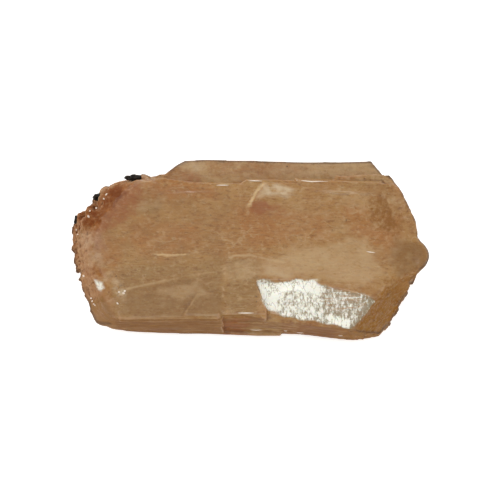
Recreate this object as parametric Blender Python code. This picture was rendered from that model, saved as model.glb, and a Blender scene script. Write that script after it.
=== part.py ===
"""A tabular stilbite crystal, a parallel intergrowth of blades, lying on its cleaved back.

Each blade is the solid left between the planes of its crystal faces. The blades are joined in one
solid, because they grew together, and faces that cross several blades are cut afterwards. Three
flecks of dark matrix rock are still held in the rough left end, each in its own socket. X runs along
the crystal, Y is away from the viewer, and Z is up from the face that it rests on.
"""

import math
import random

import bmesh
import bpy
from mathutils import Matrix, Vector

# ---- driving dimensions, in millimetres and degrees ----
MM = 0.001
BLANK = 200.0             # size of the block that a blade is cut from
TOP = 14.0                # height of the broad top face over the rest face
BACK_TOP = 11.0           # height of the lower layer that shows behind the top face
BACK_EDGE = 15.9          # depth of that layer's straight back edge
FRONT_EDGE = -13.8        # depth of the straight front edge on the left half
TIP_ANGLE = 109.0         # angle between the two end faces of a blade, seen from above
GAP = 0.3                 # clearance between a fleck of matrix and its socket
SEED = 43

# The rough left end's edge, half way up, from its back to its front.
RIM = [
    (-17.6, 13.0), (-19.6, 13.2), (-22.5, 12.4), (-25.2, 11.7), (-27.2, 10.4), (-28.3, 9.2), (-29.2, 8.0),
    (-31.4, 6.6), (-32.0, 4.6), (-32.2, 2.2), (-32.1, 0.2), (-31.7, -2.0), (-30.9, -4.4), (-30.3, -6.8),
    (-29.2, -9.6),
]
# Height of each row of small blades on that edge, how far it stands back, and how many it has.
RIM_ROWS = [(12.4, 2.2, 26), (11.0, 1.1, 28), (9.4, 0.3, 30), (7.4, 0.0, 30), (5.2, 0.3, 28), (3.2, 1.0, 22)]


# ---- solids between planes ----
def between(planes):
    """The convex mesh inside all of the planes, each a point on a face and its outward normal."""
    bm = bmesh.new()
    bmesh.ops.create_cube(bm, size=BLANK)
    for point, normal in planes:
        geometry = bm.verts[:] + bm.edges[:] + bm.faces[:]
        cut = bmesh.ops.bisect_plane(
            bm, geom=geometry, dist=1e-5, plane_co=point, plane_no=normal, clear_outer=True
        )
        rim = [g for g in cut["geom_cut"] if isinstance(g, bmesh.types.BMEdge)]
        if rim:
            bmesh.ops.edgeloop_fill(bm, edges=rim)
    bmesh.ops.recalc_face_normals(bm, faces=bm.faces[:])
    return bm


def side_face(start, end, height, lean=0.0):
    """The plane of an upright face over the line from start to end, which has the solid on its left.

    With a positive lean the solid widens downwards, and with a negative one it is undercut.
    """
    along = Vector((end[0] - start[0], end[1] - start[1], 0.0)).normalized()
    outward = Vector((along.y, -along.x, 0.0))
    tilt = math.radians(lean)
    return Vector((*start, height)), outward * math.cos(tilt) + Vector((0.0, 0.0, math.sin(tilt)))


def top_face(pivot, height, dip):
    """A plane through a point that falls by dip degrees towards +X and towards -Y."""
    fall_x, fall_y = (math.tan(math.radians(angle)) for angle in dip)
    return Vector((*pivot, height)), Vector((fall_x, -fall_y, 1.0)).normalized()


def prism(outline, low, high, leans=0.0, dip=(0.0, 0.0), pivot=None):
    """Planes of a blade. outline runs anticlockwise at the height of its top face, and leans is one
    angle or one for each side."""
    if not isinstance(leans, (list, tuple)):
        leans = [leans] * len(outline)
    planes = [
        side_face(start, end, high, lean)
        for start, end, lean in zip(outline, outline[1:] + outline[:1], leans)
    ]
    planes.append(top_face(pivot or outline[0], high, dip))
    planes.append((Vector((0.0, 0.0, low)), Vector((0.0, 0.0, -1.0))))
    return planes


def cutter(faces, low, limits):
    """Planes of a block that leaves the given faces behind. limits are its other upright sides."""
    planes = [(point, -normal) for point, normal in faces]
    planes += [side_face(start, end, 0.0) for start, end in limits]
    planes.append((Vector((0.0, 0.0, low)), Vector((0.0, 0.0, -1.0))))
    return planes


def bladelet(tip, heading, rise, length, width, thickness, roll=0.0):
    """Planes of one small pointed blade whose tip is at a point, heading and rising in degrees."""
    turn = (
        Matrix.Rotation(math.radians(heading), 3, "Z")
        @ Matrix.Rotation(math.radians(-rise), 3, "Y")
        @ Matrix.Rotation(math.radians(roll), 3, "X")
    )
    half_tip = math.radians(TIP_ANGLE / 2)
    faces = [
        ((0.0, 0.0, 0.0), (math.sin(half_tip), math.cos(half_tip), 0.25)),
        ((0.0, 0.0, 0.0), (math.sin(half_tip), -math.cos(half_tip), 0.25)),
        ((0.0, width / 2, 0.0), (0.0, 1.0, 0.0)),
        ((0.0, -width / 2, 0.0), (0.0, -1.0, 0.0)),
        ((0.0, 0.0, thickness / 2), (0.0, 0.0, 1.0)),
        ((0.0, 0.0, -thickness / 2), (0.0, 0.0, -1.0)),
        ((-length, 0.0, 0.0), (-1.0, 0.0, 0.0)),
    ]
    return [
        (Vector(tip) + turn @ Vector(point), (turn @ Vector(normal)).normalized())
        for point, normal in faces
    ]


def lump(centre, radii, seed, faces=16, grow=0.0):
    """Planes of a broken bit of rock about a centre, moved outwards by grow."""
    shape = random.Random(seed)
    golden_angle = math.pi * (3.0 - math.sqrt(5.0))
    planes = []
    for step in range(faces):
        height = 1.0 - 2.0 * (step + 0.5) / faces
        angle = step * golden_angle + shape.uniform(-0.3, 0.3)
        ring = math.sqrt(1.0 - height * height)
        direction = Vector((ring * math.cos(angle), ring * math.sin(angle), height))
        on_ball = Vector([d * r for d, r in zip(direction, radii)])
        normal = Vector([d / r for d, r in zip(direction, radii)]).normalized()
        planes.append((Vector(centre) + on_ball * shape.uniform(0.8, 1.0) + normal * grow, normal))
    return planes


def along_path(path, share):
    """The point at a share of the path's length, and the direction of the path there."""
    steps = [(Vector(a), Vector(b)) for a, b in zip(path, path[1:])]
    left = share * sum((b - a).length for a, b in steps)
    for a, b in steps:
        if left <= (b - a).length:
            break
        left -= (b - a).length
    return a + (b - a).normalized() * left, (b - a).normalized()


# ---- the body ----
def lamellae():
    """The stack of layers behind every side, each pulled in a little from the full outline."""
    shape = random.Random(SEED)
    outline = [
        (-11.9, 15.1), (-20.6, 12.3), (-26.6, 9.6), (-30.8, 5.2), (-31.2, 0.4), (-30.2, -4.6),
        (-29.4, -8.0), (-27.7, -11.2), (-25.5, -12.9), (20.0, -14.6), (23.4, -14.2), (25.4, -12.0),
        (28.9, -6.1), (30.4, -2.4), (29.6, 2.6), (26.3, 10.4), (21.6, 15.3),
    ]
    levels = [1.3, 2.9, 4.3, 5.8, 7.5, 9.2]
    overlap = 0.35
    blades = []
    for low, high in zip(levels, levels[1:]):
        pulled = []
        for x, y in outline:
            end = shape.uniform(0.0, 0.6)
            side = shape.uniform(0.0, 0.4)
            pulled.append((x - math.copysign(end, x), y - math.copysign(side, y)))
        leans = [shape.uniform(-5.0, 5.0) for _ in pulled]
        blades.append(prism(pulled, low - overlap, high, leans))
    return blades


def rest_layers():
    """The cleaved back: one broad flat face that the crystal rests on and two steps beside it."""
    rest = [
        (20.5, 10.9), (-10.0, 12.3), (-23.5, 7.6), (-27.0, -3.0), (-22.5, -10.8), (15.0, -12.4),
        (23.6, -8.0), (26.4, 1.0),
    ]
    ledge = [
        (-2.0, 14.2), (-20.0, 11.0), (-28.6, 2.0), (-27.8, -7.0), (-23.0, -12.4), (19.0, -14.0),
        (26.8, -4.0), (23.0, 12.6),
    ]
    patch = [(16.0, 14.4), (6.0, 14.9), (-8.0, 13.6), (-8.0, 9.0), (18.0, 9.0)]
    front_left = [(5.9, -9.0), (-24.0, -9.0), (-26.9, -12.3), (-25.4, -13.4), (-8.0, -14.3), (1.0, -14.7), (5.6, -14.7)]
    front_right = [(25.0, -9.0), (6.0, -9.0), (6.3, -14.2), (20.2, -15.5), (22.8, -14.8), (24.9, -12.4)]
    return [
        prism(rest, 0.0, 2.4, -24.0),
        prism(ledge, 0.7, 3.0, -10.0),
        prism(patch, 0.35, 2.6, -12.0),
        prism(front_left, 1.0, 2.7, [0.0, 0.0, -20.0, -8.0, -8.0, -8.0, 0.0]),
        prism(front_right, 1.2, 3.7, -8.0),
    ]


def back_layer():
    """The lower layer whose flat top shows behind the broad face, and its two stepped ends."""
    left = [
        (-8.0, BACK_EDGE + 0.25), (-11.9, BACK_EDGE), (-13.5, BACK_EDGE - 1.0), (-15.6, 13.1),
        (-18.0, 6.0), (2.0, 4.0), (11.5, 8.0), (11.5, BACK_EDGE - 0.35),
    ]
    right = [(7.0, BACK_EDGE - 0.35), (4.0, 4.0), (25.4, 4.0), (24.4, 12.8), (21.9, BACK_EDGE)]
    corner = [(-10.0, 13.4), (-15.6, 13.4), (-20.0, 13.1), (-22.0, 9.0), (-10.0, 8.0)]
    shelf = [(23.4, 12.8), (15.0, 12.4), (14.0, 3.0), (28.4, 3.0), (27.4, 9.6), (26.0, 11.8), (24.8, 12.8)]
    return [
        prism(left, 4.6, BACK_TOP, -3.0, dip=(0.4, -1.2), pivot=(0.0, 12.0)),
        prism(left[:4] + [(-18.0, 6.0), (11.0, 8.0)], 2.2, 5.2, -10.0),
        prism(corner, 4.2, BACK_TOP - 0.1, -4.0),
        prism(right, 3.4, BACK_TOP - 0.2, -6.0, dip=(0.8, -1.0), pivot=(14.0, 12.0)),
        prism(shelf, 5.0, TOP - 0.9, -14.0, dip=(2.0, 0.5), pivot=(20.0, 11.0)),
    ]


def broad_face():
    """The blades whose tops make the broad upper face, from the left end to the pointed right end."""
    left = [
        (-17.0, 10.9), (-19.8, 10.8), (-22.0, 9.2), (-24.6, 6.8), (-27.0, 3.6), (-28.4, 0.3), (-28.8, -2.9),
        (-27.8, -5.6), (-26.0, -8.2), (-23.6, -11.0), (-21.4, -13.0), (6.0, -13.0), (6.0, 10.7),
    ]
    left_leans = [4.0, 30.0, 36.0, 36.0, 28.0, 20.0, 12.0, 14.0, 20.0, 18.0, 4.0, 0.0, 2.0]
    corner = [(-8.9, 10.8), (-15.8, 11.9), (-19.0, 11.4), (-21.6, 9.4), (-18.0, 6.0), (-8.0, 6.0)]
    right = [
        (-0.5, 11.6), (-3.9, 9.4), (-3.9, -9.5), (12.0, -11.0), (22.0, -9.0), (29.2, -0.4), (29.9, 2.0),
        (29.6, 3.6), (28.7, 5.9), (28.1, 7.4), (27.2, 9.3), (26.2, 10.7), (24.4, 10.8),
    ]
    tip = [
        (29.2, 1.6), (12.0, 3.6), (12.0, -9.0), (24.0, -9.0), (28.4, -6.6), (30.4, -4.4), (31.3, -3.2),
        (31.8, -1.9), (31.3, -0.9),
    ]
    return [
        prism(left, 8.9, TOP, left_leans, dip=(0.0, 0.3), pivot=(0.0, 0.0)),
        prism(corner, 9.4, TOP - 0.04, [4.0, 8.0, 28.0, 0.0, 0.0, 4.0], dip=(0.0, 0.2), pivot=(-15.0, 8.0)),
        prism(right, 5.3, TOP + 0.12, -6.0, dip=(0.5, 0.0), pivot=(10.0, 0.0)),
        prism(tip, 5.9, TOP - 0.05, [-5.0, 0.0, 0.0, -3.0, -5.0, -7.0, -8.0, -8.0, -6.0]),
    ]


def growth_steps():
    """Thin plates grown on the broad face, each a ledge of a few tenths of a millimetre."""
    root = TOP - 0.9
    window = [
        (-14.8, -6.7), (-21.6, -8.4), (-24.3, -10.9), (-23.5, FRONT_EDGE + 0.15),
        (-5.6, FRONT_EDGE + 0.2), (-4.9, -13.0), (-4.55, -5.0), (-9.0, -5.6),
    ]
    wedge = [(-9.2, -9.4), (-9.9, -10.4), (-11.6, -13.2), (-5.3, -13.3), (-4.8, -9.0)]
    middle = [
        (1.4, -2.4), (-1.8, -2.2), (-3.4, -2.6), (-4.3, -3.5), (-4.6, -5.0), (-4.8, -12.9), (2.9, -12.95),
    ]
    haze = [(12.8, -4.4), (6.6, -2.8), (-0.5, -2.0), (0.0, -9.0), (10.6, -9.4), (17.0, -8.6)]
    notch = [(2.5, 10.6), (0.4, 6.8), (3.8, 5.4), (18.0, 6.4), (18.4, 10.2)]
    ridge = [(15.0, 11.0), (8.6, 11.2), (8.6, 9.6), (24.0, 8.8), (23.0, 10.7)]
    sliver = [(-3.6, 10.6), (-18.6, 11.1), (-18.0, 9.0), (-3.4, 9.7)]
    return [
        prism(window, root, TOP + 0.30, 20.0, dip=(0.0, 0.4), pivot=(-14.0, -6.0)),
        prism(wedge, root + 0.13, TOP + 0.46, 25.0, dip=(0.0, 0.4), pivot=(-10.0, -10.0)),
        prism(middle, root - 0.17, TOP + 0.36, 25.0, dip=(0.0, 0.3), pivot=(0.0, -3.0)),
        prism(haze, root + 0.07, TOP + 0.35, 25.0, dip=(1.0, 0.3), pivot=(0.0, -3.0)),
        prism(notch, root - 0.06, TOP + 0.66, [38.0, 25.0, 0.0, 0.0, 30.0], dip=(2.1, 2.6), pivot=(2.0, 10.6)),
        prism(ridge, root - 0.11, TOP + 0.38, 30.0, dip=(0.8, 1.6), pivot=(10.0, 10.8)),
        prism(sliver, root + 0.04, TOP + 0.24, 25.0, dip=(0.0, 1.4), pivot=(-10.0, 10.8)),
    ]


def front_crystals():
    """The two blades whose side faces make the front, with the narrow recess left between them."""
    left = [
        (-20.0, -6.4), (-26.3, -6.6), (-25.9, -9.2), (-25.1, -11.8), (-23.9, -13.1), (-21.6, FRONT_EDGE),
        (-5.0, FRONT_EDGE + 0.3), (-4.9, -7.0),
    ]
    left_foot = [
        (-20.0, -6.2), (-29.9, -6.0), (-29.5, -8.2), (-28.4, -10.7), (-27.0, -12.6), (-25.5, -13.5),
        (-16.0, FRONT_EDGE - 0.1), (-5.0, FRONT_EDGE - 0.2), (-4.9, -7.0),
    ]
    right = [
        (-1.8, -5.0), (-1.8, -12.8), (-1.2, -13.1), (3.1, -13.7), (19.6, -15.55), (23.2, -15.0),
        (25.0, -13.0), (28.4, -7.0), (22.0, -4.0),
    ]
    right_leans = [-24.0, -18.0, 2.0, 1.5, 0.0, 0.0, 0.0, 0.0, 0.0]
    return [
        prism(left, 7.6, TOP + 0.1, [8.0, 24.0, 30.0, 27.0, 16.0, 4.0, 4.0, 0.0]),
        prism(left_foot, 1.9, 7.9, [0.0, -6.0, -6.0, -4.0, 0.0, 2.0, 3.0, 4.0, 0.0]),
        prism(right, 3.2, TOP + 0.1, right_leans),
    ]


def right_steps():
    """Blunt blade ends that step the crystal's right end below the broad face."""
    ends = [
        (27.9, 8.0, 10.4, 2.8, 2.0), (29.2, 5.4, 8.6, 3.0, 2.2), (30.1, 2.7, 7.2, 3.2, 2.6),
        (26.3, 10.4, 8.2, 3.0, 1.9), (31.2, -2.0, 8.4, 3.0, 2.0), (30.0, -4.4, 6.4, 2.8, 1.8),
        (28.6, -7.2, 4.8, 3.0, 1.6), (26.8, -10.4, 6.2, 2.6, 1.4), (25.4, -12.6, 3.6, 2.6, 1.6),
    ]
    shape = random.Random(SEED + 1)
    return [
        bladelet((x, y, z), shape.uniform(-8.0, 8.0), shape.uniform(-4.0, 4.0), 8.0, width, thickness)
        for x, y, z, width, thickness in ends
    ]


def rim_bladelets():
    """Small pointed blades fanned round the rough left end, in rows one above the other."""
    shape = random.Random(SEED + 2)
    middle_height = 8.0
    blades = []
    for height, inset, count in RIM_ROWS:
        for step in range(count):
            place, along = along_path(RIM, (step + shape.uniform(0.2, 0.8)) / count)
            outward = Vector((along.y, -along.x))
            place -= outward * (inset + shape.uniform(-0.35, 0.4))
            heading = math.degrees(math.atan2(outward.y, outward.x)) + shape.uniform(-18.0, 18.0)
            rise = (height - middle_height) * 4.0 + shape.uniform(-9.0, 9.0)
            blades.append(bladelet(
                (*place, height + shape.uniform(-0.5, 0.5)), heading, rise, 5.0,
                shape.uniform(1.0, 1.9), shape.uniform(0.9, 1.8), shape.uniform(-25.0, 25.0),
            ))
    grains_between = [
        lump((-29.66, 1.48, 10.52), (0.42, 0.24, 0.42), SEED),
        lump((-29.33, 2.74, 10.60), (0.30, 0.25, 0.30), SEED),
    ]
    return blades + grains_between


def crossing_faces():
    """Cutters for the faces that cross several blades after they have grown together."""
    corner = (10.5, -6.8)
    bright = (Vector((*corner, TOP + 0.16)), Vector((-0.020, -0.158, 0.987)).normalized())
    bright_limits = [((0.9, -7.0), (6.2, -20.0)), ((40.0, -15.8), corner), (corner, (-10.0, -7.6))]
    bevel = side_face((3.1, -12.5), (17.6, -15.0), TOP - 0.75, 40.0)
    end_upper = side_face((23.3, -8.3), (28.2, -5.2), TOP, 25.0)
    end_lower = side_face((17.6, -15.3), (23.3, -8.3), TOP, 29.0)
    tip = (Vector((25.4, -3.0, TOP)), Vector((0.16, -0.04, 1.0)).normalized())
    return [
        cutter([bright], 9.0, bright_limits),
        cutter([bevel], 9.0, [((2.9, -10.0), (2.9, -20.0))]),
        cutter([end_upper, end_lower], 3.4, []),
        cutter([tip], 6.0, [((40.0, 1.0), (20.0, 1.6))]),
    ]


# ---- flecks of matrix: centre, radii, seed ----
FLECKS = {
    "matrix_fleck_back": ((-20.9, 12.1, 11.3), (1.7, 0.85, 1.1), 5),
    "matrix_fleck_shoulder": ((-27.4, 9.3, 10.0), (0.95, 0.95, 1.1), 9),
    "matrix_fleck_left": ((-31.3, 5.2, 9.0), (0.7, 0.85, 0.95), 14),
}


# ---- objects ----
def material(name, colour, roughness):
    made = bpy.data.materials.new(name)
    made.use_nodes = True
    shader = made.node_tree.nodes["Principled BSDF"]
    shader.inputs["Base Color"].default_value = (*colour, 1.0)
    shader.inputs["Roughness"].default_value = roughness
    shader.inputs["Metallic"].default_value = 0.0
    return made


def solid(name, planes, finish=None, helper_in=None):
    """An object of the solid between planes. A helper goes in its own collection and isn't rendered."""
    bm = between(planes)
    mesh = bpy.data.meshes.new(name)
    bm.to_mesh(mesh)
    bm.free()
    mesh.transform(Matrix.Scale(MM, 4))
    made = bpy.data.objects.new(name, mesh)
    if helper_in is None:
        bpy.context.scene.collection.objects.link(made)
        mesh.materials.append(finish)
    else:
        helper_in.objects.link(made)
        made.hide_render = True
        made.display_type = "WIRE"
    return made


def boolean(target, operation, name, solids):
    """Joins the solids to the target or cuts them from it, all in one step."""
    helpers = bpy.data.collections.new(name)
    bpy.context.scene.collection.children.link(helpers)
    for number, planes in enumerate(solids):
        solid(f"{name}_{number:03d}", planes, helper_in=helpers)
    change = target.modifiers.new(name, "BOOLEAN")
    change.operation = operation
    change.operand_type = "COLLECTION"
    change.collection = helpers
    change.solver = "EXACT"


def stilbite(finish):
    """All the blades joined in one solid, then cut by the crossing faces and the flecks' sockets."""
    blades = (
        rest_layers() + lamellae() + back_layer() + broad_face() + growth_steps()
        + front_crystals() + right_steps() + rim_bladelets()
    )
    sockets = [lump(centre, radii, seed, grow=GAP) for centre, radii, seed in FLECKS.values()]
    crystal = solid("stilbite_crystal", blades[0], finish)
    boolean(crystal, "UNION", "joined_blades", blades[1:])
    boolean(crystal, "DIFFERENCE", "crossing_faces", crossing_faces())
    boolean(crystal, "DIFFERENCE", "sockets", sockets)
    return crystal


def centre_over_rest_face(objects):
    """Moves everything so that the origin is under the middle of the specimen's box."""
    bpy.context.view_layer.update()
    graph = bpy.context.evaluated_depsgraph_get()
    points = []
    for item in objects:
        shown = item.evaluated_get(graph)
        points += [shown.matrix_world @ v.co for v in shown.to_mesh().vertices]
        shown.to_mesh_clear()
    middle = [(min(p[i] for p in points) + max(p[i] for p in points)) / 2 for i in range(2)]
    shift = Vector((-middle[0], -middle[1], 0.0))
    for item in bpy.context.scene.objects:
        item.location += shift
    print("moved to the middle by", [round(s / MM, 3) for s in shift])


def build():
    for item in list(bpy.data.objects):
        bpy.data.objects.remove(item)
    peach = material("stilbite_peach", (0.42, 0.25, 0.15), 0.35)
    dark = material("matrix_rock", (0.03, 0.028, 0.026), 0.7)
    made = [stilbite(peach)]
    for name, (centre, radii, seed) in FLECKS.items():
        made.append(solid(name, lump(centre, radii, seed), dark))
    centre_over_rest_face(made)


build()
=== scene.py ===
# %% [markdown]
# # A tabular stilbite crystal, finished
#
# Stilbite is a zeolite that grows as flat blades stacked side by side. This specimen is one
# honey-brown blade about 64 mm long, cloudy inside, with a pearly cleavage face, an end crusted
# with small blades, and three crumbs of dark host rock left on its rim.
#
# The solids from the modelling step are loaded first and never change. They fix the size and the
# place of all that follows: a finer skin is wrapped round the crystal's solid, and then gets its
# weathering, its stains and its grains.

import math

import bmesh
import bpy
import numpy as np
from mathutils import Matrix, Vector, noise
from mathutils.bvhtree import BVHTree


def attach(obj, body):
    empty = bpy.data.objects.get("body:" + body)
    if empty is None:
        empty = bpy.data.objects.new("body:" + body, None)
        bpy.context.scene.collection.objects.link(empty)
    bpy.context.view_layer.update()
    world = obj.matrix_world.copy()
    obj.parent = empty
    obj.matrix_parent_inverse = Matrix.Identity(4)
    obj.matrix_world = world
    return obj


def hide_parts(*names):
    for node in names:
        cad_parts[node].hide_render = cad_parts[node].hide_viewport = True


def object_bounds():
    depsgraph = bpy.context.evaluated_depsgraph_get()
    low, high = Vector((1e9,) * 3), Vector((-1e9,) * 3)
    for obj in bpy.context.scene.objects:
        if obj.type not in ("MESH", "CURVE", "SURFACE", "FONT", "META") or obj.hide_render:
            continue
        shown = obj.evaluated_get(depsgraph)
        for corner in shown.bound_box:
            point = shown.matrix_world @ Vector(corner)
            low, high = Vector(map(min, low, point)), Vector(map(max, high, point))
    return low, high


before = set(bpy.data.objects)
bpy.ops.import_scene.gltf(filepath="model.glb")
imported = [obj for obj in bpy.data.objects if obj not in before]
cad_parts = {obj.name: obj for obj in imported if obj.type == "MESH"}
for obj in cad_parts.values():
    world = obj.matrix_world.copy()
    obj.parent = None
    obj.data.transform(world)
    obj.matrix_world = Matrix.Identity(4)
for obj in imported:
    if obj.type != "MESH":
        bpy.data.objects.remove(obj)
cad_low, cad_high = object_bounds()
MM = 0.001
scene = bpy.context.scene


def added(name, data):
    """A new object in the scene."""
    thing = bpy.data.objects.new(name, data)
    scene.collection.objects.link(thing)
    return thing


print("solids:", ", ".join(sorted(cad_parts)))
print("box in mm:", [round(side / MM, 2) for side in cad_high - cad_low])

# %% [markdown]
# ## Camera
#
# The crystal lies flat and is seen from almost straight above, a little from the front, so that a
# narrow strip of the front side shows. A long lens keeps the outline free of perspective.

# %% Camera
AIM = Vector((0.42, -0.22, 8.0)) * MM
ELEVATION = math.radians(77)
DISTANCE = 250 * MM
FRAME_WIDTH = 90 * MM
SENSOR_MM = 36

backward = Vector((0, -math.cos(ELEVATION), math.sin(ELEVATION)))
camera = added("camera", bpy.data.cameras.new("camera"))
camera.location = AIM + backward * DISTANCE
camera.rotation_mode = "QUATERNION"
camera.rotation_quaternion = (-backward).to_track_quat("-Z", "Y")
camera.data.sensor_width = SENSOR_MM
camera.data.lens = SENSOR_MM * DISTANCE / FRAME_WIDTH
camera.data.clip_start = 1 * MM
scene.camera = camera
print("lens in mm:", round(camera.data.lens, 1))

# %% [markdown]
# ## Node trees in a few words
#
# Materials and Geometry Nodes trees are both graphs of nodes. One small class makes a node, sets
# its values and links its inputs, so that each graph below reads as a list of steps. A second
# adds what a material needs: noise measured in millimetres, mixing of colours, and the surface.

# %% Helpers that add nodes


class Graph:
    """A node tree, with one call for each node that is added to it."""

    def __init__(self, tree):
        self.tree = tree

    def add(self, kind, inputs=None, **settings):
        """Adds a node. A value in inputs is a number, a colour, or another node's output."""
        node = self.tree.nodes.new(kind)
        for name, value in settings.items():
            setattr(node, name, value)
        for key, value in (inputs or {}).items():
            if isinstance(value, bpy.types.NodeSocket):
                self.tree.links.new(value, node.inputs[key])
            else:
                node.inputs[key].default_value = value
        return node

    def maths(self, operation, *values, clamp=False):
        """One step of arithmetic on one, two or three values."""
        return self.add(
            "ShaderNodeMath", dict(enumerate(values)), operation=operation, use_clamp=clamp
        ).outputs[0]


class Finish(Graph):
    """A material's graph on Object coordinates, which are in metres and fixed to the piece."""

    def __init__(self, name):
        self.material = bpy.data.materials.new(name)
        self.material.use_nodes = True
        super().__init__(self.material.node_tree)
        self.tree.nodes.clear()
        self.place = self.add("ShaderNodeTexCoord").outputs["Object"]

    def noise(self, size, stretch=(1, 1, 1), detail=2.0, roughness=0.5, seed=0.0):
        """Cloudy noise with features about `size` mm across, longer where stretch is more."""
        scale = [1 / (size * MM * more) for more in stretch]
        placed = self.add(
            "ShaderNodeMapping",
            {"Vector": self.place, "Scale": scale, "Location": (seed, seed * 0.7, seed * 0.3)},
        ).outputs[0]
        return self.add(
            "ShaderNodeTexNoise",
            {"Vector": placed, "Scale": 1.0, "Detail": detail, "Roughness": roughness},
        ).outputs[0]

    def ramp(self, value, low, high):
        """0 at low, 1 at high, easing between. With low above high it runs the other way."""
        return self.add(
            "ShaderNodeMapRange", {0: value, 1: low, 2: high}, interpolation_type="SMOOTHSTEP"
        ).outputs[0]

    def creases(self, size, stretch, seed, far, near):
        """Thin lines where noise crosses its middle value: 0 at `far` from it, 1 at `near`."""
        centred = self.maths("SUBTRACT", self.noise(size, stretch, detail=3, seed=seed), 0.5)
        return self.ramp(self.maths("ABSOLUTE", centred), far, near)

    def zone(self, name):
        """How much of a painted zone a point has, from the mesh's own attribute."""
        return self.add("ShaderNodeAttribute", attribute_name=name).outputs["Fac"]

    def blend(self, amount, under, over):
        """Mixes two colours, each an (r, g, b) or another node's output."""
        under, over = (
            value if isinstance(value, bpy.types.NodeSocket) else (*value, 1)
            for value in (under, over)
        )
        mix = self.add("ShaderNodeMix", {0: amount, 6: under, 7: over}, data_type="RGBA")
        return mix.outputs[2]

    def surface(self, **inputs):
        """Ends the graph in one Principled surface."""
        named = {key.replace("_", " "): value for key, value in inputs.items()}
        shader = self.add("ShaderNodeBsdfPrincipled", named)
        self.add("ShaderNodeOutputMaterial", {0: shader.outputs[0]})
        return self.material


def two_tone(name, size, tone, other, seed=0.0, **look):
    """A simple material: two tones in clouds of a size."""
    finish = Finish(name)
    clouds = finish.noise(size, seed=seed)
    return finish.surface(Base_Color=finish.blend(clouds, tone, other), **look)


# %% [markdown]
# ## Table and light
#
# A mineral is best seen on plain white under soft light. The table is a pale matt sheet that
# reaches past every view. It glows a little, as a light table does, which keeps shadows pale.

# %% Table
TABLE_HALF = 1.5
TABLE_WHITE = (0.9, 0.9, 0.895)
TABLE_GREY = [0.99 * part for part in TABLE_WHITE]
TABLE_GLOW = 0.45

table_mesh = bpy.data.meshes.new("table")
table_mesh.from_pydata(
    [(x * TABLE_HALF, y * TABLE_HALF, 0) for x, y in ((-1, -1), (1, -1), (1, 1), (-1, 1))],
    [],
    [(0, 1, 2, 3)],
)
table = added("table", table_mesh)
table_mesh.materials.append(
    two_tone("matt_paper", 40, TABLE_WHITE, TABLE_GREY, Roughness=0.95,
             Emission_Color=(1, 1, 1, 1), Emission_Strength=TABLE_GLOW)
)

# %% [markdown]
# A bright, even sky fills the shadows, and a broad lamp from the upper left gives the blades
# their form. Pearly cleavage only flashes where it mirrors a lamp, so one small lamp hangs where
# the bright facet reflects it into the camera. The main face is tilted 9 degrees away from that
# facet and stays quiet.

# %% Light
SKY_STRENGTH = 0.92
SKY_TONE = (1.0, 0.99, 0.975, 1)
KEY_PLACE = (-0.30, 0.34, 0.60)
KEY_SIZE = 0.90
KEY_WATTS = 1.3
PEARL_DISTANCE = 0.60
PEARL_SIZE = 0.11
PEARL_WATTS = 0.5
FACET_NORMAL = Vector((-0.020, -0.158, 0.987)).normalized()
FACET_MIDDLE = Vector((10.5, -10.5, 13.6)) * MM


def lamp(name, place, aim, size, watts):
    """A round area lamp `size` metres across, turned towards a point."""
    light = bpy.data.lights.new(name, "AREA")
    light.shape = "DISK"
    light.size = size
    light.energy = watts
    thing = added(name, light)
    thing.location = place
    thing.rotation_mode = "QUATERNION"
    thing.rotation_quaternion = (Vector(aim) - Vector(place)).to_track_quat("-Z", "Y")


sky = bpy.data.worlds.new("studio_sky")
sky.use_nodes = True
background = sky.node_tree.nodes["Background"].inputs
background["Color"].default_value = SKY_TONE
background["Strength"].default_value = SKY_STRENGTH
scene.world = sky
scene.view_settings.view_transform = "Standard"

to_camera = (camera.location - FACET_MIDDLE).normalized()
mirror = 2 * FACET_NORMAL.dot(to_camera) * FACET_NORMAL - to_camera
lamp("key", KEY_PLACE, (0, 0, 0), KEY_SIZE, KEY_WATTS)
lamp("pearl", FACET_MIDDLE + mirror * PEARL_DISTANCE, FACET_MIDDLE, PEARL_SIZE, PEARL_WATTS)
print("pearl lamp direction:", [round(part, 3) for part in mirror])

# %% [markdown]
# ## The crystal's skin
#
# The solid has the true faces and ledges, but its triangles are long and its edges razor sharp.
# A voxel remesh wraps it in an even net of small quads, fine enough to carry relief. The work is
# done in millimetres, and scaled to metres at the end.

# %% Wrap the solid in a fine skin
VOXEL = 0.17
SOFTEN_STEPS = 6
SOFTEN_BY = 0.5
WELD = 0.0005


def solid_copy(node, name):
    """A copy of a solid in millimetres, its triangles merged into one closed skin."""
    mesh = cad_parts[node].data.copy()
    mesh.materials.clear()
    work = bmesh.new()
    work.from_mesh(mesh)
    bmesh.ops.scale(work, vec=(1 / MM,) * 3, verts=work.verts)
    bmesh.ops.remove_doubles(work, verts=work.verts, dist=WELD)
    work.to_mesh(mesh)
    work.free()
    return added(name, mesh)


def even_net(thing, voxel):
    """Adds a voxel remesh, an even net of quads `voxel` mm wide."""
    remesh = thing.modifiers.new("even net", "REMESH")
    remesh.mode = "VOXEL"
    remesh.voxel_size = voxel


def keep_modified(thing):
    """Turns what the modifiers show into the object's own mesh."""
    view = bpy.context.evaluated_depsgraph_get()
    before = thing.data
    made = bpy.data.meshes.new_from_object(thing.evaluated_get(view))
    thing.modifiers.clear()
    thing.data = made
    bpy.data.meshes.remove(before)
    made.name = thing.name


crystal = solid_copy("stilbite_crystal", "crystal_body")
even_net(crystal, VOXEL)
soften = crystal.modifiers.new("soften", "SMOOTH")
soften.factor = SOFTEN_BY
soften.iterations = SOFTEN_STEPS
keep_modified(crystal)
print("skin:", len(crystal.data.vertices), "points")

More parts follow.
